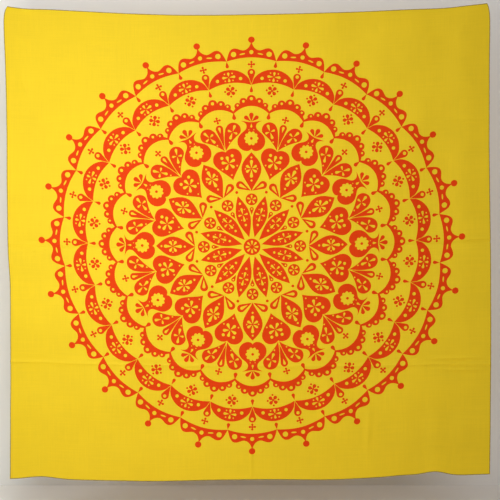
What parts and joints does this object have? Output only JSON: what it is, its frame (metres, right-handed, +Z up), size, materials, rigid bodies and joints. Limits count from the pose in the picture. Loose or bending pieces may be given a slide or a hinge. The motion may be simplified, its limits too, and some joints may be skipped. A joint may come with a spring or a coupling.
{
  "type": "printed cloth wall hanging",
  "caption": "Near-square cotton wall hanging, printed in one colour with a ring-shaped ornament, hemmed on all sides, folding at level storage creases.",
  "frame": {"origin": "middle of the top edge, in the middle of the cloth's thickness, where the hanging is held up", "axes": "+Z up, +X to the right of someone facing the printed side, -Y out of the printed side and +Y towards the wall"},
  "size_m": [1.18, 0.0015, 1.15],
  "materials": {
    "printed_cloth": "matte plain-weave cotton, golden yellow, with a one-colour orange-red print on the front that shows faintly through the back",
    "hem_cloth": "matte plain-weave cotton, golden yellow, folded twice and pressed",
    "sewing_thread": "matte spun polyester thread, golden yellow"
  },
  "bodies": {
    "top_quarter": {"top_panel": "printed_cloth", "left_hem_top": "hem_cloth", "left_thread_top": "sewing_thread", "right_hem_top": "hem_cloth", "right_thread_top": "sewing_thread", "top_hem": "hem_cloth", "top_hem_thread": "sewing_thread"},
    "upper_quarter": {"upper_panel": "printed_cloth", "left_hem_upper": "hem_cloth", "left_thread_upper": "sewing_thread", "right_hem_upper": "hem_cloth", "right_thread_upper": "sewing_thread"},
    "lower_quarter": {"lower_panel": "printed_cloth", "left_hem_lower": "hem_cloth", "left_thread_lower": "sewing_thread", "right_hem_lower": "hem_cloth", "right_thread_lower": "sewing_thread"},
    "bottom_quarter": {"bottom_panel": "printed_cloth", "left_hem_bottom": "hem_cloth", "left_thread_bottom": "sewing_thread", "right_hem_bottom": "hem_cloth", "right_thread_bottom": "sewing_thread", "bottom_hem": "hem_cloth", "bottom_hem_thread": "sewing_thread"}
  },
  "joints": [
    {"name": "fold_upper", "type": "hinge", "parent": "top_quarter", "child": "upper_quarter", "pos_m": [0, 0.0015, -0.2875], "axis": [1, 0, 0], "range_deg": [-5, 165]},
    {"name": "fold_middle", "type": "hinge", "parent": "upper_quarter", "child": "lower_quarter", "pos_m": [0, -0.0007, -0.575], "axis": [-1, 0, 0], "range_deg": [-5, 165]},
    {"name": "fold_lower", "type": "hinge", "parent": "lower_quarter", "child": "bottom_quarter", "pos_m": [0, 0.0015, -0.8625], "axis": [1, 0, 0], "range_deg": [-5, 165]}
  ]
}
